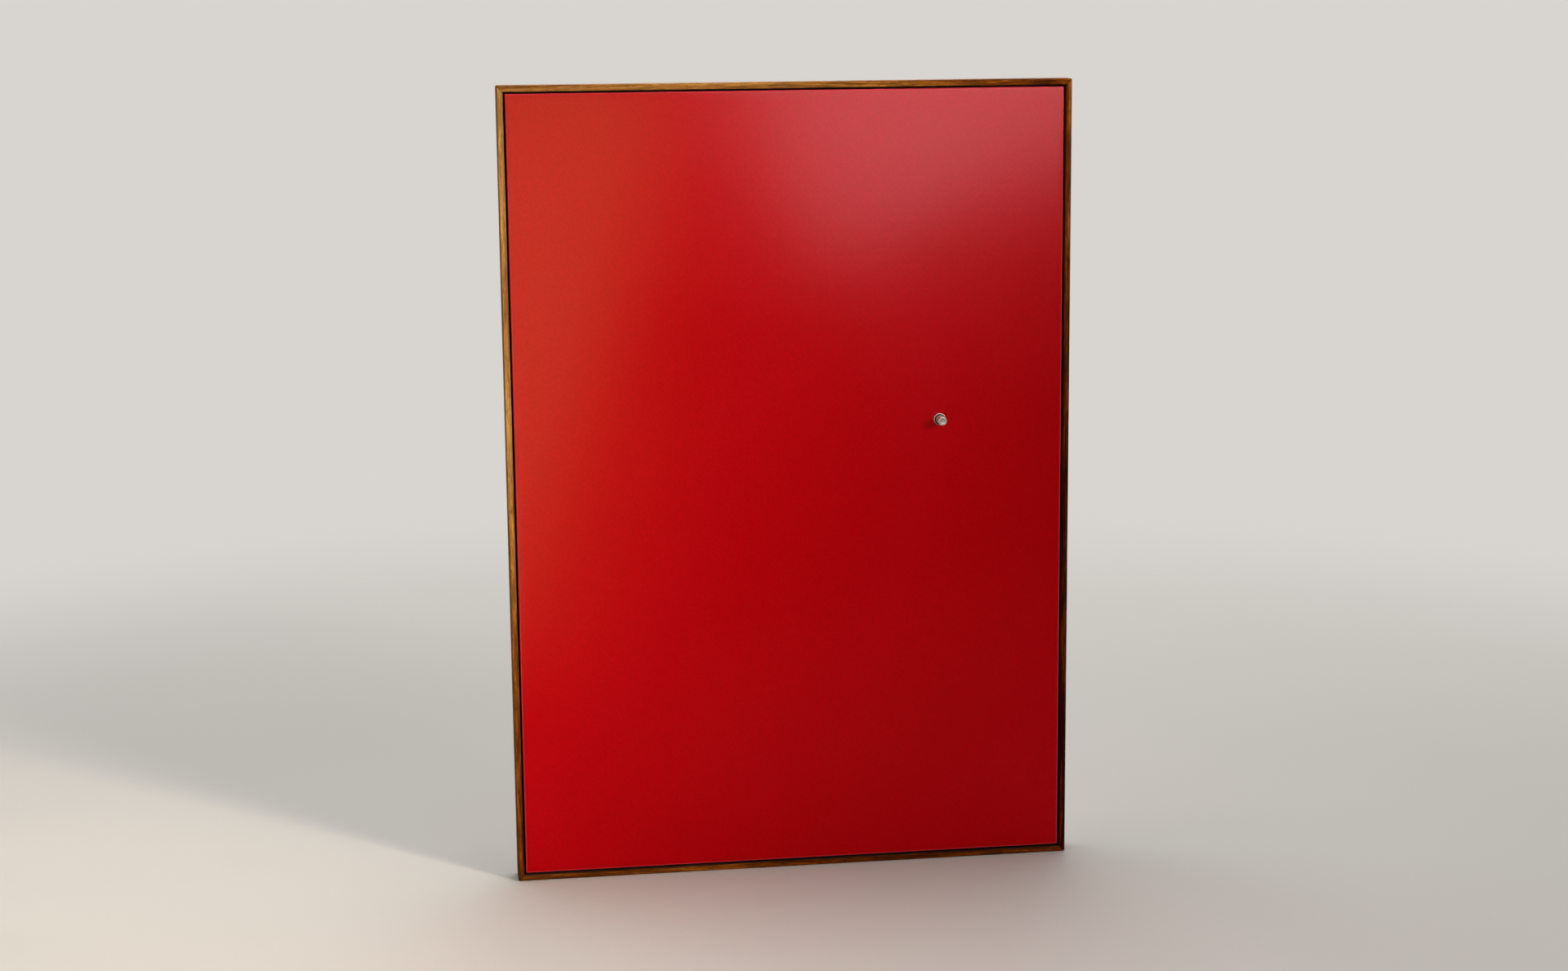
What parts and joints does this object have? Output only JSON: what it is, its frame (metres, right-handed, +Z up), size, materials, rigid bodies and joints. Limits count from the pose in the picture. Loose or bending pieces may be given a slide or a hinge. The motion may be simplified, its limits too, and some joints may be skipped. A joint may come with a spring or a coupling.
{
  "type": "magnetic board",
  "caption": "Upright framed magnetic board: folded red steel panel floating in a slim mitred wood frame, with a pull-off magnet pin and hanging rings on the back.",
  "frame": {"origin": "middle of the frame's underside, half way through its depth", "axes": "+Z up the board, -Y out of the panel's front, +Y to the wall, +X to the right as seen from the front"},
  "size_m": [0.611, 0.052, 0.858],
  "materials": {
    "walnut": "oiled reddish-brown open-pored hardwood",
    "red_powder_coat": "satin red powder coat with a fine texture",
    "fibreboard": "raw fibreboard",
    "pine": "planed softwood",
    "zinc_plate": "bright zinc plating",
    "black_rubber": "matt black rubber",
    "bright_nickel": "bright nickel plating"
  },
  "bodies": {
    "board": {"frame_top_rail": "walnut", "frame_bottom_rail": "walnut", "frame_left_stile": "walnut", "frame_right_stile": "walnut", "steel_panel": "red_powder_coat", "core_board": "fibreboard", "batten_top": "pine", "batten_bottom": "pine", "batten_left": "pine", "batten_right": "pine", "batten_cross": "pine", "v_nail_top_left_1": "zinc_plate", "v_nail_top_left_2": "zinc_plate", "v_nail_bottom_left_1": "zinc_plate", "v_nail_bottom_left_2": "zinc_plate", "v_nail_top_right_1": "zinc_plate", "v_nail_top_right_2": "zinc_plate", "v_nail_bottom_right_1": "zinc_plate", "v_nail_bottom_right_2": "zinc_plate", "frame_screw_top_1": "zinc_plate", "frame_screw_top_2": "zinc_plate", "frame_screw_bottom_1": "zinc_plate", "frame_screw_bottom_2": "zinc_plate", "frame_screw_left_1": "zinc_plate", "frame_screw_left_2": "zinc_plate", "frame_screw_left_3": "zinc_plate", "frame_screw_right_1": "zinc_plate", "frame_screw_right_2": "zinc_plate", "frame_screw_right_3": "zinc_plate", "hanger_strap_left": "zinc_plate", "hanger_strap_right": "zinc_plate", "hanger_screw_left_1": "zinc_plate", "hanger_screw_left_2": "zinc_plate", "hanger_screw_right_1": "zinc_plate", "hanger_screw_right_2": "zinc_plate", "wall_bumper_top_left": "black_rubber", "wall_bumper_top_right": "black_rubber", "wall_bumper_bottom_left": "black_rubber", "wall_bumper_bottom_right": "black_rubber"},
    "ring_left": {"hanger_ring_left": "zinc_plate"},
    "ring_right": {"hanger_ring_right": "zinc_plate"},
    "pin": {"pin_knob": "bright_nickel", "pin_magnet": "bright_nickel"}
  },
  "joints": [
    {"name": "ring_left_swing", "type": "hinge", "parent": "board", "child": "ring_left", "pos_m": [-0.2955, 0.0179, 0.678], "axis": [1, 0, 0], "range_deg": [0, 180]},
    {"name": "ring_right_swing", "type": "hinge", "parent": "board", "child": "ring_right", "pos_m": [0.2955, 0.0179, 0.678], "axis": [1, 0, 0], "range_deg": [0, 180]},
    {"name": "pin_pull", "type": "slide", "parent": "board", "child": "pin", "axis": [0, -1, 0], "range_m": [0, 0.04]}
  ]
}
